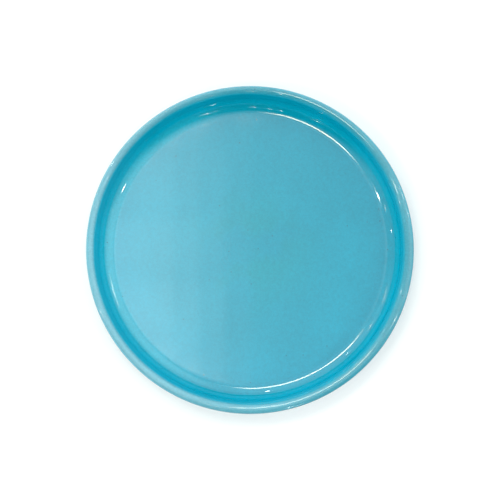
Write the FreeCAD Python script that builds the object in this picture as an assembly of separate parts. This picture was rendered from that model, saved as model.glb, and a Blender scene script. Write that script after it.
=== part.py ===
"""A round, shallow, straight-sided dish in fired clay, glazed inside and out.

It is turned about one axis, so each piece is half a cross-section, drawn in the
plane of X and Z, spun once round the Z axis. Millimetres, +Z up. The origin is
the centre of the ring that the dish stands on, at the height of the table.

The pieces: the clay body, and the three separate coats of glaze on it. The
inside and outside coats meet on the crown of the rim. The outside coat and the
underside coat are parted by the foot ring, which is left bare so that it does
not stick to the kiln shelf.
"""

import FreeCAD
import Part

import math
import os

# The finished dish, measured over its glaze
rim_diameter = 200.0  # across the widest part of the rim
height = 32.0  # from the table to the crown of the rim
floor_thickness = 5.5  # from the underside to the bottom of the well
lip_inner_round = 3.4  # from the crown down into the well
lip_outer_round = 2.3  # from the crown down to the outside
cove_radius = 9.0  # where the floor of the well turns up into the wall
heel_radius = 12.0  # where the outside turns under
inner_draft = 2.0  # degrees the wall leans outwards, inside
outer_draft = 3.0  # degrees the wall leans outwards, outside
glaze_thickness = 0.4

# The ring it stands on
foot_height = 2.0  # from the table to the glazed underside
foot_width = 5.0
foot_inset = 3.0  # from the start of the heel's curve in to the ring
foot_edge_round = 1.0

# Places that follow from those sizes
crown_radius = rim_diameter / 2 - lip_outer_round
floor_level = foot_height + floor_thickness
clay_underside = foot_height + glaze_thickness

AXIS_POINT = FreeCAD.Vector(0, 0, 0)
AXIS_DIRECTION = FreeCAD.Vector(0, 0, 1)


def point(radius, level):
    """A point of the cross-section: its distance from the axis, and its height."""
    return FreeCAD.Vector(radius, 0, level)


def heading(angle):
    """The direction at an angle in degrees, turning from outwards to upwards."""
    return point(math.cos(math.radians(angle)), math.sin(math.radians(angle)))


def arc(centre, radius, start, end):
    """A round stretch of the cross-section, between two angles in degrees."""
    middle = (start + end) / 2
    on_arc = [centre + heading(angle) * radius for angle in (start, middle, end)]
    return Part.Arc(*on_arc).toShape()


def line(start, end):
    """A straight stretch of the cross-section."""
    return Part.LineSegment(start, end).toShape()


def rounding_centre(lip_centre, lip_round, side, level, distance):
    """The centre of the curve that joins the wall smoothly to a level surface.

    The wall touches the lip's curve at the angle side, which is the way that it
    faces. The centre lies at the given level and at the given distance from the
    wall: in front of it if positive, and behind it, in the clay, if negative.
    """
    facing = heading(side)
    wall = lip_centre + facing * lip_round
    return point(wall.x + (distance - (level - wall.z) * facing.z) / facing.x, level)


# The two curves of the lip share the crown, straight above both centres
inner_lip_centre = point(crown_radius, height - lip_inner_round)
outer_lip_centre = point(crown_radius, height - lip_outer_round)
inner_side = 180 - inner_draft  # the way that the wall faces into the well
outer_side = -outer_draft  # the way that it faces outside

cove_level = floor_level + cove_radius
heel_level = foot_height + heel_radius
cove_centre = rounding_centre(
    inner_lip_centre, lip_inner_round, inner_side, cove_level, cove_radius
)
heel_centre = rounding_centre(
    outer_lip_centre, lip_outer_round, outer_side, heel_level, -heel_radius
)
foot_outer_radius = heel_centre.x - foot_inset
foot_inner_radius = foot_outer_radius - foot_width


def well_edges(sunk):
    """The surface of the well from the axis out to the crown, sunk into the glaze."""
    cove_round = cove_radius + sunk
    lip_round = lip_inner_round - sunk
    floor = line(point(0, floor_level - sunk), point(cove_centre.x, floor_level - sunk))
    cove = arc(cove_centre, cove_round, -90, -inner_draft)
    lip = arc(inner_lip_centre, lip_round, inner_side, 90)
    wall = line(
        cove_centre + heading(-inner_draft) * cove_round,
        inner_lip_centre + heading(inner_side) * lip_round,
    )
    return [floor, cove, wall, lip]


def outside_edges(sunk):
    """The outside from the crown down and under to the foot ring, sunk into the glaze."""
    lip_round = lip_outer_round - sunk
    heel_round = heel_radius - sunk
    lip = arc(outer_lip_centre, lip_round, 90, outer_side)
    wall = line(
        outer_lip_centre + heading(outer_side) * lip_round,
        heel_centre + heading(outer_side) * heel_round,
    )
    heel = arc(heel_centre, heel_round, outer_side, -90)
    belly = line(
        point(heel_centre.x, foot_height + sunk), point(foot_outer_radius, foot_height + sunk)
    )
    return [lip, wall, heel, belly]


def foot_edges():
    """The bare foot ring, from the outer side round its resting face to the inner side."""
    outer_round = point(foot_outer_radius - foot_edge_round, foot_edge_round)
    inner_round = point(foot_inner_radius + foot_edge_round, foot_edge_round)
    return [
        line(
            point(foot_outer_radius, clay_underside),
            point(foot_outer_radius, foot_edge_round),
        ),
        arc(outer_round, foot_edge_round, 0, -90),
        line(point(outer_round.x, 0), point(inner_round.x, 0)),
        arc(inner_round, foot_edge_round, -90, -180),
        line(
            point(foot_inner_radius, foot_edge_round),
            point(foot_inner_radius, clay_underside),
        ),
    ]


def spin(edges):
    """The solid that a closed cross-section makes, turned once round the axis."""
    outline = Part.Wire(Part.__sortEdges__(edges))
    return Part.Face(outline).revolve(AXIS_POINT, AXIS_DIRECTION, 360)


def make_clay_body():
    """The fired clay: floor, wall, lip and foot ring in one."""
    underside = line(point(foot_inner_radius, clay_underside), point(0, clay_underside))
    axis = line(point(0, clay_underside), point(0, floor_level - glaze_thickness))
    surfaces = well_edges(glaze_thickness) + outside_edges(glaze_thickness) + foot_edges()
    return spin(surfaces + [underside, axis])


def crown_seam():
    """The line on the crown where the inside and outside coats meet."""
    return line(point(crown_radius, height), point(crown_radius, height - glaze_thickness))


def make_inside_glaze():
    """The coat that lines the well, out to the crown of the rim."""
    axis = line(point(0, floor_level - glaze_thickness), point(0, floor_level))
    return spin(well_edges(0) + well_edges(glaze_thickness) + [axis, crown_seam()])


def make_outside_glaze():
    """The coat from the crown down the outside, ending against the foot ring."""
    glaze_line = line(
        point(foot_outer_radius, foot_height), point(foot_outer_radius, clay_underside)
    )
    coat = outside_edges(0) + outside_edges(glaze_thickness)
    return spin(coat + [glaze_line, crown_seam()])


def make_underside_glaze():
    """The disc of glaze inside the foot ring."""
    return spin(
        [
            line(point(0, foot_height), point(foot_inner_radius, foot_height)),
            line(
                point(foot_inner_radius, foot_height),
                point(foot_inner_radius, clay_underside),
            ),
            line(point(foot_inner_radius, clay_underside), point(0, clay_underside)),
            line(point(0, clay_underside), point(0, foot_height)),
        ]
    )


def main():
    """Make every piece, check that it is one sound solid, and write it out."""
    pieces = {
        "clay_body": make_clay_body(),
        "inside_glaze": make_inside_glaze(),
        "outside_glaze": make_outside_glaze(),
        "underside_glaze": make_underside_glaze(),
    }
    os.makedirs("parts", exist_ok=True)
    for name, shape in pieces.items():
        if not shape.isValid() or len(shape.Solids) != 1 or shape.Volume <= 0:
            raise ValueError(name + " is not one sound solid")
        shape.exportStep("parts/" + name + ".step")
        box = shape.BoundBox
        print(name, round(shape.Volume, 1), "mm3, height", round(box.ZMin, 3), round(box.ZMax, 3))
    print("foot ring radius", round(foot_inner_radius, 2), "to", round(foot_outer_radius, 2))
    print("level floor of the well to radius", round(cove_centre.x, 2))


main()
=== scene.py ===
"""A glazed clay dish and the studio that shows it, in the layout of a Blender add-on.

The clay body and its three coats of glaze are turned pieces: each is a section,
worked out from the dish's sizes, that a Geometry Nodes tree carries once round the
Z axis, with the small unevenness that the maker's hand and the kiln leave behind.
Everything is in metres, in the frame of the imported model.
"""

import math

import bmesh
import bpy
from bpy.props import FloatProperty, FloatVectorProperty, IntProperty, PointerProperty
from mathutils import Matrix, Vector


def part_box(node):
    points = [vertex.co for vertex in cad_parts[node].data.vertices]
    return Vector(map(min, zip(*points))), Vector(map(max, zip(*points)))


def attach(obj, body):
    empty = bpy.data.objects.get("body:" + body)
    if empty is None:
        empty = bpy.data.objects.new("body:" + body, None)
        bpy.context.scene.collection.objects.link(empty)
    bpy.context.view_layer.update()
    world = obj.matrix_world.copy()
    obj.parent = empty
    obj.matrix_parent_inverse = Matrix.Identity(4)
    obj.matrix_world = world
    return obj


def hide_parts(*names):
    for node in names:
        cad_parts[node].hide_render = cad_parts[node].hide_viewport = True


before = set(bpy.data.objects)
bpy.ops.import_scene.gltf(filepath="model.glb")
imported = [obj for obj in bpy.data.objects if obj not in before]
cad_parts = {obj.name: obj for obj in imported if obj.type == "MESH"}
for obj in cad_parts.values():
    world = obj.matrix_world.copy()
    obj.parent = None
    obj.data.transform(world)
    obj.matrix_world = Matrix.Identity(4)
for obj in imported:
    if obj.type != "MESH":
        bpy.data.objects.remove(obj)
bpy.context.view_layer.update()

bl_info = {
    "name": "Glazed Clay Dish",
    "version": (1, 0, 0),
    "blender": (4, 5, 0),
    "location": "3D View > Sidebar > Clay Dish",
    "description": "Builds a round glazed clay dish piece by piece, with its studio",
    "category": "Add Mesh",
}

MILLIMETRE = 0.001
ROOT_BODY = "root"

# How far above half height the mouth of the well is fully off centre
SHIFT_REACH = 4 * MILLIMETRE

# How strongly light turns in the glaze and in the clay
GLAZE_IOR = 1.8
CLAY_IOR = 1.45

# How the cove's painted light and the outer edge's painted shade are turned from the lit side
COVE_TURN = math.radians(-25)
PAINTED_SHADE_TURN = math.radians(115)

# The spacing of the turning's faint rings and of the specks, and the depth of relief
RING_PITCH = 2.6 * MILLIMETRE
SPECK_GAP = 8.5 * MILLIMETRE
GLAZE_RELIEF = 0.02 * MILLIMETRE
CLAY_RELIEF = 0.12 * MILLIMETRE

# Each small lamp's bearing and tilt from upright, in degrees, and its width and
# height in millimetres. One of them is a tube
LAMP_DISTANCE = 1.2
LAMPS = (
    (148, 54, 14, 35),
    (133, 54, 14, 35),
    (97, 54, 14, 35),
    (17, 53, 210, 8),
    (-16, 54, 14, 35),
    (-26, 36, 20, 48),
    (-72, 54, 12, 30),
    (-76, 56, 14, 35),
    (-91, 54, 12, 26),
    (-98, 50, 8, 20),
    (-102, 54, 12, 26),
    (-118, 76, 10, 22),
    (-157, 24, 22, 70),
    (-163, 48, 12, 30),
    (-172, 56, 8, 24),
    (164, 50, 10, 30),
    (160, 56, 12, 30),
)

# The honeycomb bank: one lamp's level, width and depth, and how bright its columns
# are outwards from the middle and its rows from front to back
BANK_LEVEL = 0.95
BANK_WIDTH = 0.04
BANK_DEPTH = 0.1
BANK_COLUMNS = (0.12, 0.38, 0.68, 0.97, 1.0, 1.0)
BANK_ROWS = (1.1, 1.12, 0.95, 0.78, 0.6)
BANK_TINT = (0.65, 0.94, 1.0)
BANK_SPREAD = math.radians(24)

# The strip lights: distance from the axis, level, width, warm tint, and each one's
# bearing and length
STRIP_DISTANCE = 0.275
STRIP_LEVEL = 0.9
STRIP_WIDTH = 0.1
STRIP_TINT = (1.0, 0.9, 0.7)
STRIPS = (
    ("Strip Front Left", math.radians(-119), 0.19),
    ("Strip Back Left", math.radians(114), 0.28),
)

WHITE = (1.0, 1.0, 1.0)
SKY_TINT = (0.96, 1.0, 1.01, 1.0)
FLOOR_WIDTH = 8.0
FLOOR_DROP = 0.2 * MILLIMETRE
SENSOR_WIDTH = 36.0

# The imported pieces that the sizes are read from
OUTSIDE_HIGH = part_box("outside_glaze")[1]
INSIDE_LOW, INSIDE_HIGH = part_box("inside_glaze")
UNDERSIDE_LOW, UNDERSIDE_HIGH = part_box("underside_glaze")
COAT = UNDERSIDE_HIGH.z - UNDERSIDE_LOW.z


# ---------------------------------------------------------------- sizes and colours


def size(name, description, default, **limits):
    """A length that a user may set, in metres."""
    return FloatProperty(
        name=name,
        description=description,
        default=default,
        subtype="DISTANCE",
        unit="LENGTH",
        precision=5,
        **limits,
    )


def angle(name, description, degrees):
    """An angle that a user may set, held in radians."""
    return FloatProperty(
        name=name,
        description=description,
        default=math.radians(degrees),
        subtype="ANGLE",
        unit="ROTATION",
    )


def colour(name, description, default):
    """A linear colour that a user may set."""
    return FloatVectorProperty(
        name=name,
        description=description,
        default=default,
        size=3,
        min=0.0,
        max=1.0,
        subtype="COLOR",
    )


def factor(name, description, default, top=1.0):
    """A plain number that a user may set."""
    return FloatProperty(name=name, description=description, default=default, min=0.0, max=top)


class ClayDishSizes(bpy.types.PropertyGroup):
    """The sizes of the dish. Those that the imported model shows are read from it."""

    rim_radius: size("Rim radius", "Axis to the widest part of the rim", OUTSIDE_HIGH.x)
    crown_radius: size("Crown radius", "Axis to the highest line of the rim", INSIDE_HIGH.x)
    height: size("Height", "Table to the crown of the rim", OUTSIDE_HIGH.z)
    floor_level: size("Floor level", "Table to the bottom of the well", INSIDE_LOW.z + COAT)
    foot_height: size("Foot height", "Table to the glazed underside", UNDERSIDE_LOW.z)
    foot_inner_radius: size("Foot inner radius", "Axis to the ring's inner side", UNDERSIDE_HIGH.x)
    foot_width: size("Foot width", "Width of the ring it stands on", 5.0 * MILLIMETRE)
    foot_edge_round: size("Foot edge", "Rounding of the ring's edges", 1.0 * MILLIMETRE)
    glaze_thickness: size("Glaze thickness", "Thickness of each coat", COAT)
    lip_inner_round: size("Lip, inside", "Rounding from the crown into the well", 3.4 * MILLIMETRE)
    cove_radius: size("Cove radius", "Where the floor turns up into the wall", 9.0 * MILLIMETRE)
    cove_break: angle("Cove break", "How sharply the floor turns into the cove", 8.0)
    heel_radius: size("Heel radius", "Where the outside turns under", 12.0 * MILLIMETRE)
    inner_draft: angle("Inner draft", "How far the wall leans outwards, inside", 2.0)
    outer_draft: angle("Outer draft", "How far the wall leans outwards, outside", 3.0)
    bead_width: size("Bead width", "Width of the glaze's thick edge at the foot", 1.6 * MILLIMETRE)
    bead_swell: size("Bead swell", "How far that edge stands proud", 0.28 * MILLIMETRE)


class ClayDishHand(bpy.types.PropertyGroup):
    """How finely the pieces are turned, and what the maker's hand leaves uneven."""

    steps_round: IntProperty(
        name="Steps round", description="Facets in one turn of the wheel", default=480, min=24
    )
    rim_lean: size("Rim lean", "Most that the rim is drawn in, unevenly", 0.35 * MILLIMETRE)
    rim_dip: size("Rim dip", "Most that the rim is low, unevenly", 0.3 * MILLIMETRE)
    well_shift: size("Well shift", "How far the mouth of the well is off centre", 0.9 * MILLIMETRE)
    shift_bearing: angle("Shift bearing", "The way that it is off centre", 132.0)
    seed: factor("Seed", "Chooses another unevenness", 3.0, top=1000.0)


class ClayDishColours(bpy.types.PropertyGroup):
    """The finish of the glaze and of the bare clay, with painted light and painted shade in the glaze.
    """

    glaze: colour("Glaze", "The glaze at its usual thickness", (0.0, 0.275, 0.388))
    # Paler at the lip: thinner glaze, and partly a painted reflection
    glaze_thin_painted_reflection: colour("Thin glaze", "The glaze where it breaks over an edge", (0.035, 0.285, 0.375))
    # Painted highlight: the thinner lip glaze made paler on the lit side
    thin_glaze_painted_highlight: colour("Drained glaze", "The thin glaze where most drained off", (0.11, 0.35, 0.44))
    # Deeper glaze at the foot; lighter down the wall and at the floor's edge as painted light
    glaze_deep_painted_light: colour("Deep glaze", "The glaze where it has run down the wall", (0.0, 0.345, 0.49))
    # Painted light: the cove made paler on the lit side
    glaze_cove_painted_light: colour("Cove glaze", "The glaze in the cove, where it drained", (0.015, 0.395, 0.53))
    # The lit side: the painted highlight and painted light face it, and the painted shade is turned
    # from it
    painted_light_bearing: angle("Drain bearing", "The side of the rim that the glaze drained from", 200.0)
    glaze_settled: colour("Settled glaze", "Greener glaze in mid well", (0.0, 0.262, 0.335))
    speck: colour("Speck", "Iron specks under the glaze", (0.0, 0.1, 0.14))
    clay: colour("Clay", "The bare fired clay", (0.62, 0.5, 0.37))
    # Dark clay, for grit and for the darkening towards the top of the foot ring
    clay_dark: colour("Dark clay", "Grit and scorching in the bare clay", (0.36, 0.26, 0.17))
    gloss: factor("Glaze roughness", "Roughness of the glaze", 0.07)


class ClayDishStudio(bpy.types.PropertyGroup):
    """The plain studio: floor, lights and camera."""

    camera_height: size("Camera height", "Rim to camera, straight above the dish", 0.62)
    fill: factor("Fill", "Share of the frame that the dish fills", 0.6572)
    floor_shade: factor("Floor shade", "How pale the floor is", 0.9)
    soft_light: factor("Soft light", "Soft light that falls on the dish from all round", 1.1, top=10.0)
    low_light: factor("Low light", "The part of it that comes in low, on to the walls", 1.55, top=10.0)
    bank: factor("Bank", "Brightness of the honeycomb bank, overhead on the left", 1.9, top=100.0)
    lamps: factor("Lamps", "Brightness of the small far lamps", 110.0, top=1000.0)
    strips: factor("Strips", "Brightness of the strip lights", 15.0, top=1000.0)


def sizes():
    return bpy.context.scene.clay_dish_sizes


def hand():
    return bpy.context.scene.clay_dish_hand


def colours():
    return bpy.context.scene.clay_dish_colours


def studio():
    return bpy.context.scene.clay_dish_studio


# ---------------------------------------------------------------- sections


def arc(centre, radius, start, end, steps):
    """Points of a round stretch between two angles in degrees, both ends included."""
    turns = [math.radians(start + (end - start) * i / steps) for i in range(steps + 1)]
    return [(centre[0] + radius * math.cos(t), centre[1] + radius * math.sin(t)) for t in turns]


def straight(start, end, steps):
    """Points of a straight stretch, both ends included."""
    shares = [i / steps for i in range(steps + 1)]
    return [
        (start[0] + (end[0] - start[0]) * t, start[1] + (end[1] - start[1]) * t) for t in shares
    ]


def chain(*stretches):
    """Joins stretches end to end, leaving out the points that two of them share."""
    points = []
    for stretch in stretches:
        for spot in stretch:
            if not points or math.dist(points[-1], spot) > 1e-7:
                points.append(spot)
    return points


def blend_centre(lip_centre, lip_round, side, level, distance):
    """Centre of the curve that joins the wall, which faces side, to a level surface."""
    facing = (math.cos(math.radians(side)), math.sin(math.radians(side)))
    wall = (lip_centre[0] + facing[0] * lip_round, lip_centre[1] + facing[1] * lip_round)
    return (wall[0] + (distance - (level - wall[1]) * facing[1]) / facing[0], level)


class Outline:
    """The curves of the dish's section, worked out from its sizes."""

    def __init__(self, s):
        self.s = s
        self.lip_outer_round = s.rim_radius - s.crown_radius
        self.inner_side = 180 - math.degrees(s.inner_draft)
        self.outer_side = -math.degrees(s.outer_draft)
        self.inner_lip = (s.crown_radius, s.height - s.lip_inner_round)
        self.outer_lip = (s.crown_radius, s.height - self.lip_outer_round)
        self.cove = blend_centre(
            self.inner_lip,
            s.lip_inner_round,
            self.inner_side,
            s.floor_level + s.cove_radius,
            s.cove_radius,
        )
        self.heel = blend_centre(
            self.outer_lip,
            self.lip_outer_round,
            self.outer_side,
            s.foot_height + s.heel_radius,
            -s.heel_radius,
        )
        self.clay_underside = s.foot_height + s.glaze_thickness
        self.foot_outer_radius = s.foot_inner_radius + s.foot_width

    def well(self, sunk, fine=1):
        """The well's surface from the axis out to the crown, sunk into the glaze."""
        s = self.s
        floor = s.floor_level - sunk
        cove_end = self.inner_side - 180
        cove_start = math.degrees(s.cove_break) - 90
        cove = arc(self.cove, s.cove_radius + sunk, cove_start, cove_end, 18 * fine)
        step = cove[0][1] - floor
        cove = [(r, z - step * (1 - i / (len(cove) - 1))) for i, (r, z) in enumerate(cove)]
        flat = straight((0, floor), cove[0], 28 * fine)
        lip = arc(self.inner_lip, s.lip_inner_round - sunk, self.inner_side, 90, 14 * fine)
        return chain(flat, cove, straight(cove[-1], lip[0], 6 * fine), lip)

    def outside(self, sunk, fine=1):
        """The outside from the crown down and under to the start of the belly."""
        s = self.s
        lip = arc(self.outer_lip, self.lip_outer_round - sunk, 90, self.outer_side, 12 * fine)
        heel = arc(self.heel, s.heel_radius - sunk, self.outer_side, -90, 18 * fine)
        return chain(lip, straight(lip[-1], heel[0], 10 * fine), heel)

    def bead(self, inner, outer, steps=12):
        """The thick rounded edge of a coat, from its level part to where it meets the ring."""
        s = self.s
        points = []
        for i in range(steps + 1):
            t = i / steps
            swell = s.bead_swell * math.sin(math.pi * t) ** 0.8
            rise = s.glaze_thickness * 0.75 * max(0.0, (t - 0.7) / 0.3) ** 2
            points.append((inner + (outer - inner) * t, s.foot_height - swell + rise))
        return points

    def foot(self):
        """The bare ring, from the outer side round its resting face to the inner side."""
        s = self.s
        turn = s.foot_edge_round
        outer, inner = self.foot_outer_radius, s.foot_inner_radius
        top = self.clay_underside
        return chain(
            straight((outer, top), (outer, turn), 3),
            arc((outer - turn, turn), turn, 0, -90, 8),
            straight((outer - turn, 0), (inner + turn, 0), 8),
            arc((inner + turn, turn), turn, -90, -180, 8),
            straight((inner, turn), (inner, top), 3),
        )


def clay_section(o):
    """Closed outline of the clay, from the axis over the well and back under."""
    coat = o.s.glaze_thickness
    belly = straight((o.heel[0], o.clay_underside), (o.foot_outer_radius, o.clay_underside), 3)
    underside = straight((o.s.foot_inner_radius, o.clay_underside), (0, o.clay_underside), 8)
    return chain(o.well(coat), o.outside(coat), belly, o.foot(), underside)


def inside_glaze_section(o):
    """Closed outline of the coat in the well: its surface out, the clay back."""
    return chain(o.well(0, fine=2), o.well(o.s.glaze_thickness)[::-1])


def outside_glaze_section(o):
    """Closed outline of the coat outside, with its bead against the foot ring."""
    s = o.s
    surface = o.outside(0, fine=2)
    bead_start = o.foot_outer_radius + s.bead_width
    belly = straight(surface[-1], (bead_start, s.foot_height), 3)
    bead = o.bead(bead_start, o.foot_outer_radius)
    back = o.outside(s.glaze_thickness)[::-1]
    under = straight((o.foot_outer_radius, o.clay_underside), back[0], 3)
    loop = chain(surface, belly, bead, under, back)
    return loop + [loop[0]]


def underside_glaze_section(o):
    """Closed outline of the disc of glaze inside the foot ring, with its bead."""
    s = o.s
    bead_start = s.foot_inner_radius - s.bead_width
    top = straight((0, o.clay_underside), (s.foot_inner_radius, o.clay_underside), 8)
    bead = o.bead(bead_start, s.foot_inner_radius)[::-1]
    return chain(top, bead, straight((bead_start, s.foot_height), (0, s.foot_height), 24))


# ---------------------------------------------------------------- node helpers


class Nodes:
    """Adds nodes to a tree and links them, so that a recipe reads as a list of steps."""

    def __init__(self, tree):
        self.tree = tree
        self.count = 0

    def add(self, kind, inputs=None, **settings):
        """Adds a node, sets its options, and fills or links the inputs that are given."""
        node = self.tree.nodes.new(kind)
        node.location = (180 * (self.count % 12), -220 * (self.count // 12))
        self.count += 1
        for name, value in settings.items():
            setattr(node, name, value)
        for key, value in (inputs or {}).items():
            self.feed(node.inputs[key], value)
        return node

    def feed(self, socket, value):
        """Links a socket to an output, or sets its value."""
        if isinstance(value, bpy.types.Node):
            value = value.outputs[0]
        if isinstance(value, bpy.types.NodeSocket):
            self.tree.links.new(value, socket)
        else:
            socket.default_value = value

    def maths(self, operation, *values, clamp=False):
        """A Math node of the family that this kind of tree uses."""
        return self.add(
            "ShaderNodeMath",
            dict(enumerate(values)),
            operation=operation,
            use_clamp=clamp,
        )

    def times(self, first, *others):
        """Multiplies values together."""
        for value in others:
            first = self.maths("MULTIPLY", first, value)
        return first

    def plus(self, first, *others):
        """Adds values together."""
        for value in others:
            first = self.maths("ADD", first, value)
        return first

    def minus(self, value, taken):
        """Takes one value from another."""
        return self.maths("SUBTRACT", value, taken)

    def smooth_step(self, value, start, end, low=0.0, high=1.0):
        """Turns value smoothly from low, at start, to high, at end."""
        return self.add(
            "ShaderNodeMapRange",
            {
                "Value": value,
                "From Min": start,
                "From Max": end,
                "To Min": low,
                "To Max": high,
            },
            interpolation_type="SMOOTHSTEP",
        )


# ---------------------------------------------------------------- the turning tree


TURNING_INPUTS = (
    ("Section", "NodeSocketGeometry"),
    ("Points", "NodeSocketInt"),
    ("Steps Round", "NodeSocketInt"),
    ("Rim Lean", "NodeSocketFloat"),
    ("Rim Dip", "NodeSocketFloat"),
    ("Well Shift", "NodeSocketFloat"),
    ("Shift Bearing", "NodeSocketFloat"),
    ("Rim Radius", "NodeSocketFloat"),
    ("Crown Radius", "NodeSocketFloat"),
    ("Height", "NodeSocketFloat"),
    ("Steady Below", "NodeSocketFloat"),
    ("Seed", "NodeSocketFloat"),
    ("Finish", "NodeSocketMaterial"),
)


def turning_tree():
    """Carries a section's points once round the Z axis, and unsettles the rim a little."""
    tree = bpy.data.node_groups.get("Turned Piece")
    if tree:
        return tree
    tree = bpy.data.node_groups.new("Turned Piece", "GeometryNodeTree")
    for name, kind in TURNING_INPUTS:
        tree.interface.new_socket(name, in_out="INPUT", socket_type=kind)
    tree.interface.new_socket("Piece", in_out="OUTPUT", socket_type="NodeSocketGeometry")
    n = Nodes(tree)
    given = n.add("NodeGroupInput").outputs
    columns = n.plus(given["Steps Round"], 1.0)
    grid = n.add("GeometryNodeMeshGrid", {"Vertices X": columns, "Vertices Y": given["Points"]})

    # Each row of the grid is a point of the section, and each column a turn
    index = n.add("GeometryNodeInputIndex")
    row = n.maths("MODULO", index, given["Points"])
    column = n.maths("FLOOR", n.maths("DIVIDE", index, given["Points"]))
    position = n.add("GeometryNodeInputPosition")
    spot = n.add(
        "GeometryNodeSampleIndex",
        {"Geometry": given["Section"], "Value": position, "Index": row},
        data_type="FLOAT_VECTOR",
    )
    place = n.add("ShaderNodeSeparateXYZ", {0: spot})
    turn = n.times(n.maths("DIVIDE", column, given["Steps Round"]), math.tau)
    across = n.add(
        "ShaderNodeCombineXYZ", {"X": n.maths("COSINE", turn), "Y": n.maths("SINE", turn)}
    )

    # The unevenness grows from the floor of the well up to the rim. It is the same
    # for every piece, so that the coats stay on the clay
    above = n.minus(place.outputs["Z"], given["Steady Below"])
    span = n.minus(given["Height"], given["Steady Below"])
    share = n.maths("POWER", n.maths("DIVIDE", above, span, clamp=True), 1.5)
    lean = n.add(
        "ShaderNodeTexNoise",
        {"Vector": across, "W": given["Seed"], "Scale": 1.1, "Detail": 1.0},
        noise_dimensions="4D",
    )
    dip = n.add(
        "ShaderNodeTexNoise",
        {"Vector": across, "W": n.plus(given["Seed"], 50.0), "Scale": 1.3, "Detail": 1.0},
        noise_dimensions="4D",
    )
    drawn_in = n.times(lean, given["Rim Lean"], share)
    lowered = n.times(dip, given["Rim Dip"], share)
    radius = n.minus(place.outputs["X"], drawn_in)
    level = n.minus(place.outputs["Z"], lowered)
    turned = n.add("ShaderNodeVectorMath", {0: across, "Scale": radius}, operation="SCALE")
    raised = n.add(
        "ShaderNodeVectorMath",
        {0: turned, 1: n.add("ShaderNodeCombineXYZ", {"Z": level})},
        operation="ADD",
    )

    # The mouth of the well was thrown a little off centre, but the outline is true
    middle = n.times(n.plus(given["Height"], given["Steady Below"]), 0.5)
    full_shift = n.plus(middle, SHIFT_REACH)
    by_height = n.smooth_step(place.outputs["Z"], given["Steady Below"], full_shift)
    by_radius = n.smooth_step(place.outputs["X"], given["Rim Radius"], given["Crown Radius"])
    shift = n.times(by_height, by_radius, given["Well Shift"])
    sideways = n.add(
        "ShaderNodeCombineXYZ",
        {
            "X": n.times(n.maths("COSINE", given["Shift Bearing"]), shift),
            "Y": n.times(n.maths("SINE", given["Shift Bearing"]), shift),
        },
    )
    shifted = n.add("ShaderNodeVectorMath", {0: raised, 1: sideways}, operation="ADD")
    placed = n.add("GeometryNodeSetPosition", {"Geometry": grid, "Position": shifted})
    closed = n.add("GeometryNodeMergeByDistance", {"Geometry": placed, "Distance": 1e-6})
    smooth = n.add("GeometryNodeSetShadeSmooth", {"Geometry": closed})
    real = n.add("GeometryNodeRealizeInstances", {"Geometry": smooth})
    finished = n.add("GeometryNodeSetMaterial", {"Geometry": real, "Material": given["Finish"]})
    n.add("NodeGroupOutput", {"Piece": finished})
    return tree


def set_inputs(modifier, values):
    """Sets a modifier's named inputs by their sockets' identifiers."""
    for item in modifier.node_group.interface.items_tree:
        if item.item_type == "SOCKET" and item.in_out == "INPUT" and item.name in values:
            modifier[item.identifier] = values[item.name]


def volume_of(mesh):
    """Signed volume of a closed mesh: positive if its faces point outwards."""
    shell = bmesh.new()
    shell.from_mesh(mesh)
    open_edges = sum(1 for edge in shell.edges if len(edge.link_faces) != 2)
    volume = shell.calc_volume(signed=True)
    shell.free()
    if open_edges:
        raise RuntimeError(mesh.name + " has " + str(open_edges) + " open edges")
    return volume


def turn_piece(name, section, material):
    """Turns a section into a finished closed piece, as plain mesh."""
    outline = bpy.data.meshes.new(name + "_section")
    outline.from_pydata([(r, 0, z) for r, z in section], [], [])
    piece = bpy.data.objects.new(name, outline)
    bpy.context.scene.collection.objects.link(piece)
    modifier = piece.modifiers.new("Turned Piece", "NODES")
    modifier.node_group = turning_tree()
    values = {
        "Points": len(section),
        "Steps Round": hand().steps_round,
        "Rim Lean": hand().rim_lean,
        "Rim Dip": hand().rim_dip,
        "Well Shift": hand().well_shift,
        "Shift Bearing": hand().shift_bearing,
        "Rim Radius": sizes().rim_radius,
        "Crown Radius": sizes().crown_radius,
        "Height": sizes().height,
        "Steady Below": sizes().floor_level,
        "Seed": hand().seed,
        "Finish": material,
    }
    set_inputs(modifier, values)
    depsgraph = bpy.context.evaluated_depsgraph_get()
    mesh = bpy.data.meshes.new_from_object(piece.evaluated_get(depsgraph), depsgraph=depsgraph)
    piece.modifiers.remove(modifier)
    piece.data = mesh
    mesh.name = name
    bpy.data.meshes.remove(outline)
    if volume_of(mesh) < 0:
        mesh.flip_normals()
    if volume_of(mesh) <= 0:
        raise RuntimeError(name + " isn't a closed solid")
    return piece


def settle(piece, node):
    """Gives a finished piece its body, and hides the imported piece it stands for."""
    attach(piece, ROOT_BODY)
    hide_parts(node)


# ---------------------------------------------------------------- finishes


def new_material(name):
    """A material with a Principled surface, and its tree's helper."""
    material = bpy.data.materials.new(name)
    material.use_nodes = True
    material.node_tree.nodes.clear()
    n = Nodes(material.node_tree)
    surface = n.add("ShaderNodeBsdfPrincipled")
    n.add("ShaderNodeOutputMaterial", {"Surface": surface})
    return material, n, surface


def mix_colours(n, share, first, second, mode="MIX"):
    """Mixes two colours, or two outputs, by a share."""
    mixer = n.add("ShaderNodeMix", data_type="RGBA", blend_type=mode, clamp_factor=True)
    for number, value in ((0, share), (6, first), (7, second)):
        if isinstance(value, (tuple, list)) or hasattr(value, "r"):
            value = (*value[:3], 1.0)
        n.feed(mixer.inputs[number], value)
    return mixer.outputs[2]


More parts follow.
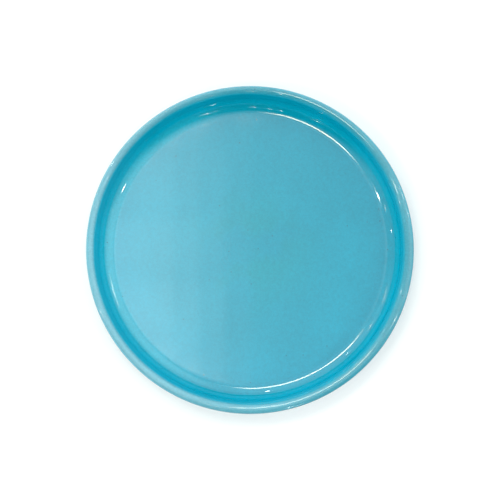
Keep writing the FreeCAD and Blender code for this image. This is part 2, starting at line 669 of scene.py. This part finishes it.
def own_coordinates(n):
    """The piece's own coordinates, with its distance from the axis and its height."""
    place = n.add("ShaderNodeTexCoord").outputs["Object"]
    parts = n.add("ShaderNodeSeparateXYZ", {0: place})
    flat = n.add("ShaderNodeCombineXYZ", {"X": parts.outputs["X"], "Y": parts.outputs["Y"]})
    radius = n.add("ShaderNodeVectorMath", {0: flat}, operation="LENGTH").outputs["Value"]
    return place, parts, radius


def noise(n, place, per_metre, detail=2.0):
    """Noise with so many features to a metre."""
    inputs = {"Vector": place, "Scale": per_metre, "Detail": detail}
    return n.add("ShaderNodeTexNoise", inputs).outputs[0]


def grey(n, tone):
    """The same tone in all three channels."""
    return n.add("ShaderNodeCombineXYZ", {"X": tone, "Y": tone, "Z": tone}).outputs[0]


class GlazePoint:
    """Where a point of the glaze lies, and which stretches of the dish it is on."""

    def __init__(self, n):
        s = sizes()
        crown = s.crown_radius
        self.n = n
        self.place, parts, self.radius = own_coordinates(n)
        self.level = parts.outputs["Z"]
        self.sweep = n.maths("ARCTAN2", parts.outputs["Y"], parts.outputs["X"])
        self.inside = n.smooth_step(self.radius, crown - 0.5 * MILLIMETRE, crown - 3 * MILLIMETRE)
        self.above_floor = n.smooth_step(self.level, s.floor_level - 2 * MILLIMETRE, s.floor_level)
        self.wall = n.smooth_step(self.radius, crown - 8 * MILLIMETRE, crown - 5 * MILLIMETRE)

    def towards(self, bearing):
        """One on the side of a bearing, falling to minus one straight across from it."""
        return self.n.maths("COSINE", self.n.minus(self.sweep, bearing))


def lip_and_painted_light_shares(n, at):
    """Where the glaze is thinner towards the lip, partly as painted reflection, and where the lip
    carries a painted highlight and a painted shade.

    The glaze breaks over the lip along a slightly wandering line. The painted highlight is on the lit
    side, and the painted shade on the other.
    """
    s = sizes()
    wander = n.times(n.minus(noise(n, at.place, 45.0), 0.5), 0.8 * MILLIMETRE)
    level = n.plus(at.level, wander)
    # Paler towards the lip: thinner glaze, and partly a painted reflection
    thin_and_painted_reflection = n.smooth_step(level, s.height - 3.6 * MILLIMETRE, s.height - 0.6 * MILLIMETRE)
    # Painted light: the lit side of the lip, which also moves where the lip turns paler
    painted_light_side = n.smooth_step(at.towards(colours().painted_light_bearing), -0.7, 0.7)
    level = n.plus(level, n.times(painted_light_side, 1.2 * MILLIMETRE))
    at_lip = n.smooth_step(level, s.height - 1.4 * MILLIMETRE, s.height + 0.2 * MILLIMETRE)
    # Painted highlight over the lip on the lit side, painted shade on the far side
    return thin_and_painted_reflection, n.times(at_lip, painted_light_side), n.times(at_lip, n.minus(1.0, painted_light_side))


def deep_and_painted_light_share(n, at):
    """Where the glaze pools at the foot, and where painted light makes it lighter down the wall and
    towards the floor's edge.
    """
    s = sizes()
    crown = s.crown_radius
    off_floor = n.smooth_step(at.radius, crown - 9 * MILLIMETRE, crown - 5 * MILLIMETRE)
    # Painted light: the wall made lighter, off the floor and inside the crown
    painted_light_wall = n.times(off_floor, at.inside, at.above_floor)
    at_foot = n.smooth_step(at.level, s.foot_height + 2.5 * MILLIMETRE, s.foot_height)
    ripple = n.smooth_step(noise(n, at.place, 22.0, 1.0), 0.3, 0.7, 0.96, 1.04)
    rippled = n.times(at.radius, ripple)
    # Painted light: lighter towards the floor's edge, where the wall shades the floor
    painted_light_floor_edge = n.smooth_step(rippled, 50 * MILLIMETRE, 82 * MILLIMETRE, 0.0, 0.45)
    deep_and_painted_light = n.maths("MAXIMUM", painted_light_wall, n.times(at_foot, 0.8))
    return n.maths("MAXIMUM", deep_and_painted_light, n.times(painted_light_floor_edge, at.inside))


def painted_light_cove_share(n, at):
    """Where the cove is paler on the lit side: painted light."""
    crown = sizes().crown_radius
    in_cove = n.smooth_step(at.radius, crown - 14 * MILLIMETRE, crown - 11 * MILLIMETRE)
    off_wall = n.smooth_step(at.radius, crown - 4.5 * MILLIMETRE, crown - 8 * MILLIMETRE)
    # Painted light: paler on the lit side
    side = n.smooth_step(at.towards(colours().painted_light_bearing + COVE_TURN), 0.05, 0.7)
    return n.times(in_cove, off_wall, side, at.above_floor)


def settled_share(n, at):
    """Patches of greener glaze round the middle of the well."""
    patches = n.smooth_step(noise(n, at.place, 40.0, 4.0), 0.42, 0.62)
    near_axis = n.smooth_step(at.radius, 55 * MILLIMETRE, 10 * MILLIMETRE)
    return n.times(patches, near_axis, 0.8)


def turning_lines(n, at):
    """Fine lines that the turning left, which wander a little round the dish."""
    drift = n.times(noise(n, at.place, 18.0, 1.0), 1.5 * MILLIMETRE)
    section = {"X": n.plus(at.radius, drift), "Y": n.plus(at.level, drift)}
    return noise(n, n.add("ShaderNodeCombineXYZ", section), 1100.0)


def glaze_tone_and_painted_light(n, at, lines, painted_shade_share):
    """How light the glaze's colour is: cloudy, mottled and grainy, with uneven edges.

    It is lined on the wall, and lighter along the wall's foot as painted light. It is darker outside
    the crown on one side, and over the lip on the far side, both as painted shade.
    """
    s = sizes()
    crown = s.crown_radius
    clouds = n.smooth_step(noise(n, at.place, 28.0, 3.0), 0.3, 0.7, 0.96, 1.04)
    mottle = n.smooth_step(noise(n, at.place, 420.0), 0.25, 0.75, 0.965, 1.035)
    grain = n.smooth_step(noise(n, at.place, 1000.0), 0.25, 0.75, 0.93, 1.07)
    lined = n.times(n.minus(lines, 0.5), n.times(at.wall, 0.16))
    # Painted light: a lighter band along the wall's foot, inside the well
    from_foot = n.maths("ABSOLUTE", n.minus(at.radius, crown - 4.6 * MILLIMETRE))
    painted_light_along_foot = n.smooth_step(from_foot, 1.3 * MILLIMETRE, 0.0, 0.0, 0.08)
    tone = n.plus(n.times(clouds, mottle, grain), lined, n.times(painted_light_along_foot, at.above_floor))
    # Painted shade: the outer edge darker on the side turned from the light
    beyond = n.smooth_step(at.radius, crown + 1.0 * MILLIMETRE, crown + 1.8 * MILLIMETRE)
    near_rim = n.smooth_step(at.level, s.height - 5 * MILLIMETRE, s.height - 2 * MILLIMETRE)
    side = at.towards(colours().painted_light_bearing + PAINTED_SHADE_TURN)
    painted_shade_edge = n.times(beyond, near_rim, n.smooth_step(side, -0.1, 0.9, 0.0, 0.25))
    # Painted shade: the outer edge, and the lip on the far side, made darker
    return n.times(tone, n.minus(1.0, painted_shade_edge), n.minus(1.0, n.times(painted_shade_share, 0.1)))


def glaze_relief(n, at, lines, speck):
    """Orange peel, a faint spiral, lines on the wall, and a pit at each speck."""
    peel = n.times(noise(n, at.place, 330.0, 1.0), n.minus(0.35, n.times(at.wall, 0.2)))
    spiral = n.plus(n.times(at.radius, math.tau / RING_PITCH), at.sweep)
    near_axis = n.smooth_step(at.radius, 45 * MILLIMETRE, 6 * MILLIMETRE, 0.1, 1.0)
    rings = n.times(n.maths("SINE", spiral), near_axis, 0.12)
    swell = n.plus(peel, rings, n.times(lines, at.wall, 0.1))
    relief = n.minus(swell, n.times(speck, 0.4))
    return n.add("ShaderNodeBump", {"Height": relief, "Distance": GLAZE_RELIEF, "Strength": 1.0})


def glaze_material(name):
    """Glossy coloured glaze: thinner over the lip, richer where it pools, with a few specks.

    Its painted light and shade were set in this studio's light: paler over the lip, in the cove, down
    the wall and towards the floor's edge as painted highlight and painted light, and darker on the far
    side of the lip and at the outer edge as painted shade.
    """
    c = colours()
    material, n, surface = new_material(name)
    at = GlazePoint(n)
    thin_and_painted_reflection, painted_highlight_share, painted_shade_share = lip_and_painted_light_shares(n, at)
    lines = turning_lines(n, at)
    # Painted light down the wall and at the floor's edge; deeper glaze at the foot
    body = mix_colours(n, deep_and_painted_light_share(n, at), c.glaze, c.glaze_deep_painted_light)
    body = mix_colours(n, settled_share(n, at), body, c.glaze_settled)
    # Painted light in the cove, on the lit side
    body = mix_colours(n, painted_light_cove_share(n, at), body, c.glaze_cove_painted_light)
    # Thinner glaze at the lip, partly a painted reflection
    body = mix_colours(n, thin_and_painted_reflection, body, c.glaze_thin_painted_reflection)
    # Painted highlight on the lit side of the lip
    body = mix_colours(n, painted_highlight_share, body, c.thin_glaze_painted_highlight)
    # Tone, with painted light along the wall's foot and painted shade at the outer edge and the far
    # lip
    tone = glaze_tone_and_painted_light(n, at, lines, painted_shade_share)
    body = mix_colours(n, 1.0, body, grey(n, tone), mode="MULTIPLY")

    # Specks: where the surface cuts through scattered grains
    scattered = {"Vector": at.place, "Scale": 1 / SPECK_GAP, "Randomness": 1.0}
    grains = n.add("ShaderNodeTexVoronoi", scattered)
    speck = n.smooth_step(grains.outputs["Distance"], 0.06, 0.035)
    body = mix_colours(n, n.times(speck, 0.7), body, c.speck)
    n.feed(surface.inputs["Base Color"], body)

    ripple = noise(n, at.place, 60.0, 1.0)
    shine = n.smooth_step(ripple, 0.2, 0.8, c.gloss * 0.8, c.gloss * 1.25)
    n.feed(surface.inputs["Roughness"], n.plus(shine, n.times(speck, 0.15)))
    surface.inputs["IOR"].default_value = GLAZE_IOR
    n.feed(surface.inputs["Normal"], glaze_relief(n, at, lines, speck))
    return material


def clay_material(name):
    """Bare fired clay: matt, pale, gritty, and a little darker towards the glaze's edge."""
    c = colours()
    material, n, surface = new_material(name)
    place, parts, _ = own_coordinates(n)
    grit = n.add("ShaderNodeTexVoronoi", {"Vector": place, "Scale": 900.0})
    dark_grit = n.smooth_step(grit.outputs["Distance"], 0.22, 0.05)
    clouds = noise(n, place, 90.0, 4.0)
    # Darker towards the top of the ring, next to the glaze
    darker_upwards = n.smooth_step(parts.outputs["Z"], 0.4 * MILLIMETRE, sizes().foot_height)
    shade = n.plus(n.times(clouds, 0.35), n.times(darker_upwards, 0.3))
    body = mix_colours(n, shade, c.clay, c.clay_dark)
    body = mix_colours(n, n.times(dark_grit, 0.5), body, c.clay_dark)
    n.feed(surface.inputs["Base Color"], body)
    n.feed(surface.inputs["Roughness"], n.smooth_step(clouds, 0.3, 0.7, 0.78, 0.95))
    surface.inputs["IOR"].default_value = CLAY_IOR
    relief = n.minus(noise(n, place, 1500.0, 3.0), n.times(dark_grit, 0.4))
    bump = n.add("ShaderNodeBump", {"Height": relief, "Distance": CLAY_RELIEF, "Strength": 1.0})
    n.feed(surface.inputs["Normal"], bump)
    return material


# ---------------------------------------------------------------- operators: the pieces


class CLAYDISH_OT_throw_body(bpy.types.Operator):
    """Turn the clay body: floor, wall, lip and bare foot ring"""

    bl_idname = "clay_dish.throw_body"
    bl_label = "Throw Clay Body"

    def execute(self, context):
        section = clay_section(Outline(sizes()))
        piece = turn_piece("fired_clay_body", section, clay_material("Bare Fired Clay"))
        settle(piece, "clay_body")
        return {"FINISHED"}


class CLAYDISH_OT_line_well(bpy.types.Operator):
    """Coat the well with glaze, out to the crown of the rim"""

    bl_idname = "clay_dish.line_well"
    bl_label = "Glaze Inside"

    def execute(self, context):
        section = inside_glaze_section(Outline(sizes()))
        piece = turn_piece("glaze_inside", section, glaze_material("Turquoise Glaze Inside"))
        settle(piece, "inside_glaze")
        return {"FINISHED"}


class CLAYDISH_OT_coat_outside(bpy.types.Operator):
    """Coat the outside with glaze, down to a bead against the foot ring"""

    bl_idname = "clay_dish.coat_outside"
    bl_label = "Glaze Outside"

    def execute(self, context):
        section = outside_glaze_section(Outline(sizes()))
        piece = turn_piece("glaze_outside", section, glaze_material("Turquoise Glaze Outside"))
        settle(piece, "outside_glaze")
        return {"FINISHED"}


class CLAYDISH_OT_coat_underside(bpy.types.Operator):
    """Coat the underside with glaze, inside the foot ring"""

    bl_idname = "clay_dish.coat_underside"
    bl_label = "Glaze Underside"

    def execute(self, context):
        section = underside_glaze_section(Outline(sizes()))
        piece = turn_piece("glaze_underside", section, glaze_material("Turquoise Glaze Underside"))
        settle(piece, "underside_glaze")
        return {"FINISHED"}


# ---------------------------------------------------------------- the studio


def studio_floor(material):
    """A flat square sheet facing upwards, just under the dish."""
    reach = FLOOR_WIDTH / 2
    corners = [
        (-reach, -reach, -FLOOR_DROP),
        (reach, -reach, -FLOOR_DROP),
        (reach, reach, -FLOOR_DROP),
        (-reach, reach, -FLOOR_DROP),
    ]
    mesh = bpy.data.meshes.new("studio_floor")
    mesh.from_pydata(corners, [], [(0, 1, 2, 3)])
    mesh.materials.append(material)
    sheet = bpy.data.objects.new("studio_floor", mesh)
    bpy.context.scene.collection.objects.link(sheet)
    return sheet


def floor_material():
    """A plain pale floor."""
    material, n, surface = new_material("Studio Floor")
    place, _, _ = own_coordinates(n)
    shade = studio().floor_shade
    tone = n.smooth_step(noise(n, place, 3.0), 0.3, 0.7, shade * 0.99, shade)
    n.feed(surface.inputs["Base Color"], grey(n, tone))
    surface.inputs["Roughness"].default_value = 0.8
    surface.inputs["Specular IOR Level"].default_value = 0.2
    return material


def facing_turn(place, aim, sideways):
    """The turn of a light that faces its aim, with its width lying sideways."""
    back = (Vector(place) - Vector(aim)).normalized()
    across = sideways.normalized()
    return Matrix((across, back.cross(across), back)).transposed().to_quaternion()


def round_turn(place, aim):
    """Faces a light to its aim on the axis, with its width running round the dish."""
    return facing_turn(place, aim, Vector((-place[1], place[0], 0.0)))


def level_turn(place, aim):
    """Faces a light to its aim, with its depth kept along Y."""
    back = (Vector(place) - Vector(aim)).normalized()
    return facing_turn(place, aim, Vector((0, 1, 0)).cross(back))


def area_light(name, place, turn, width, depth, radiance, tint, spread=math.pi):
    """A rectangular light. Its energy is worked out from its radiance as seen face on.

    A spread below a half turn is a honeycomb over it, which shows it from fewer angles.
    """
    lamp = bpy.data.lights.new(name, "AREA")
    lamp.shape = "RECTANGLE"
    lamp.size = width
    lamp.size_y = depth
    lamp.color = tint
    lamp.spread = spread
    half = spread / 2
    gain = 1.0
    if half < math.pi / 2:
        kept = math.sin(half) ** 2 / 2 - (half / 2 - math.sin(spread) / 4) / math.tan(half)
        gain = 0.5 / kept
    lamp.energy = radiance * math.pi * width * depth / gain
    light = bpy.data.objects.new(name, lamp)
    light.rotation_mode = "QUATERNION"
    light.rotation_quaternion = turn
    light.location = place
    bpy.context.scene.collection.objects.link(light)


def strip_lights():
    """Warm strip lights, each lying across its bearing from the dish."""
    aim = (0, 0, sizes().floor_level)
    for name, bearing, length in STRIPS:
        x = STRIP_DISTANCE * math.cos(bearing)
        y = STRIP_DISTANCE * math.sin(bearing)
        place = (x, y, STRIP_LEVEL)
        turn = round_turn(place, aim)
        area_light(name, place, turn, length, STRIP_WIDTH, studio().strips, STRIP_TINT)


def small_lamps():
    """Small far lamps all round, each a glint in the cove and on the lip."""
    for number, (bearing, tilt, width, height) in enumerate(LAMPS):
        bearing = math.radians(bearing)
        tilt = math.radians(tilt)
        flat = LAMP_DISTANCE * math.sin(tilt)
        level = LAMP_DISTANCE * math.cos(tilt)
        place = (flat * math.cos(bearing), flat * math.sin(bearing), level)
        area_light(
            "Lamp %d" % number,
            place,
            round_turn(place, (0, 0, 0)),
            width * MILLIMETRE,
            height * MILLIMETRE,
            studio().lamps,
            WHITE,
        )


def honeycomb_bank():
    """A bank of soft lights overhead on the left, each aimed where the camera is mirrored.

    It is dimmer towards the middle and towards the back.
    """
    mirrored_camera = (0, 0, 2 * sizes().floor_level - sizes().height - studio().camera_height)
    for column, column_share in enumerate(BANK_COLUMNS):
        for row, row_share in enumerate(BANK_ROWS):
            x = -(column + 0.5) * BANK_WIDTH
            y = (row - (len(BANK_ROWS) - 1) / 2) * BANK_DEPTH
            place = (x, y, BANK_LEVEL)
            area_light(
                "Bank %d.%d" % (column, row),
                place,
                level_turn(place, mirrored_camera),
                BANK_WIDTH,
                BANK_DEPTH,
                studio().bank * column_share * row_share,
                BANK_TINT,
                BANK_SPREAD,
            )


def mirrored_room(n, x, y, z):
    """How bright the room that the glaze mirrors is, each way from the dish.

    It is pale on the right, dim on the left, and dark in front, where whoever works
    at the dish stands.
    """
    overhead = n.smooth_step(x, -0.05, 0.13, 1.25, 0.9)
    right = n.times(
        n.smooth_step(x, 0.03, 0.25, 0.0, 0.9),
        n.smooth_step(z, 0.1, 0.8, 0.3, 1.0),
        n.smooth_step(y, -0.5, -0.05, 0.0, 1.0),
    )
    back = n.times(n.smooth_step(y, 0.0, 0.5, 0.0, 0.6), n.smooth_step(z, 0.1, 0.8, 0.4, 1.0))
    left = n.smooth_step(z, 0.0, 0.9, 0.5, 0.68)
    round_about = n.plus(left, n.maths("MAXIMUM", right, back))
    near_overhead = n.smooth_step(z, 0.985, 0.991)
    lit = n.add("ShaderNodeMix", {0: near_overhead, 2: round_about, 3: overhead})
    aside = n.maths("ABSOLUTE", n.minus(x, 0.06))
    forward = n.plus(y, n.times(n.maths("MINIMUM", aside, 0.6), 0.25))
    return n.times(lit, n.smooth_step(forward, -0.6, -0.28))


def soft_room(n, x, y, z):
    """How bright the soft light on the dish is, from each way.

    It is brightest low down, dimmer in front, and dim from below the horizon.
    """
    t = studio()
    light = n.plus(n.smooth_step(z, 0.5, 0.1, 0.0, t.low_light), t.soft_light)
    ahead = n.minus(n.times(x, 0.12), y)
    dimmed = n.times(n.smooth_step(ahead, 0.2, 0.95, 0.0, 0.65), n.smooth_step(z, 0.03, 0.1))
    above_horizon = n.smooth_step(z, -0.15, -0.03, 0.4, 1.0)
    return n.times(light, n.minus(1.0, dimmed), above_horizon)


def light_the_room():
    """Soft light from all round, and the different room that the glaze mirrors.

    No real room does both. Each is set on its own, for the way that it looks.
    """
    world = bpy.data.worlds.new("Studio Room")
    world.use_nodes = True
    world.node_tree.nodes.clear()
    n = Nodes(world.node_tree)
    direction = n.add("ShaderNodeTexCoord").outputs["Generated"]
    x, y, z = n.add("ShaderNodeSeparateXYZ", {0: direction}).outputs
    is_mirrored = n.add("ShaderNodeLightPath").outputs["Is Glossy Ray"]
    rooms = {0: is_mirrored, 2: soft_room(n, x, y, z), 3: mirrored_room(n, x, y, z)}
    strength = n.add("ShaderNodeMix", rooms)
    sky = n.add("ShaderNodeBackground", {"Color": SKY_TINT, "Strength": strength})
    n.add("ShaderNodeOutputWorld", {"Surface": sky})
    bpy.context.scene.world = world


def add_camera():
    """The camera, straight above the dish."""
    s = sizes()
    t = studio()
    camera = bpy.data.cameras.new("Camera")
    eye = bpy.data.objects.new("Camera", camera)
    eye.location = (0, 0, s.height + t.camera_height)
    widest_level = s.height - (s.rim_radius - s.crown_radius)
    half_view = s.rim_radius / t.fill
    camera.sensor_width = SENSOR_WIDTH
    camera.lens = SENSOR_WIDTH / 2 * (eye.location.z - widest_level) / half_view
    camera.clip_start = 0.01
    bpy.context.scene.collection.objects.link(eye)
    bpy.context.scene.camera = eye


class CLAYDISH_OT_set_stage(bpy.types.Operator):
    """Set the floor, the strip lights, the small lamps, the bank, the room and the camera"""

    bl_idname = "clay_dish.set_stage"
    bl_label = "Set Stage"

    def execute(self, context):
        floor = studio_floor(floor_material())
        strip_lights()
        small_lamps()
        honeycomb_bank()
        light_the_room()
        add_camera()
        context.scene.view_settings.view_transform = "Standard"
        return {"FINISHED"}


# ---------------------------------------------------------------- panel and registration


PIECE_OPERATORS = (
    CLAYDISH_OT_throw_body,
    CLAYDISH_OT_line_well,
    CLAYDISH_OT_coat_outside,
    CLAYDISH_OT_coat_underside,
    CLAYDISH_OT_set_stage,
)


class CLAYDISH_PT_sidebar(bpy.types.Panel):
    """Lists the sizes, the colours and the steps that build the dish"""

    bl_idname = "CLAYDISH_PT_sidebar"
    bl_label = "Clay Dish"
    bl_space_type = "VIEW_3D"
    bl_region_type = "UI"
    bl_category = "Clay Dish"

    def draw(self, context):
        for group in (sizes(), hand(), colours(), studio()):
            box = self.layout.box()
            for name in group.__annotations__:
                box.prop(group, name)
        for operator in PIECE_OPERATORS:
            self.layout.operator(operator.bl_idname)


GROUPS = {
    "clay_dish_sizes": ClayDishSizes,
    "clay_dish_hand": ClayDishHand,
    "clay_dish_colours": ClayDishColours,
    "clay_dish_studio": ClayDishStudio,
}
CLASSES = (*GROUPS.values(), *PIECE_OPERATORS, CLAYDISH_PT_sidebar)


def register():
    """Registers the classes, and gives each scene its groups of settings."""
    for made in CLASSES:
        bpy.utils.register_class(made)
    for name, group in GROUPS.items():
        setattr(bpy.types.Scene, name, PointerProperty(type=group))


def unregister():
    """Takes away what register made."""
    for name in GROUPS:
        delattr(bpy.types.Scene, name)
    for made in reversed(CLASSES):
        bpy.utils.unregister_class(made)


def main():
    """Builds the dish and its studio."""
    register()
    bpy.ops.clay_dish.throw_body()
    bpy.ops.clay_dish.line_well()
    bpy.ops.clay_dish.coat_outside()
    bpy.ops.clay_dish.coat_underside()
    bpy.ops.clay_dish.set_stage()


if __name__ == "__main__":
    main()
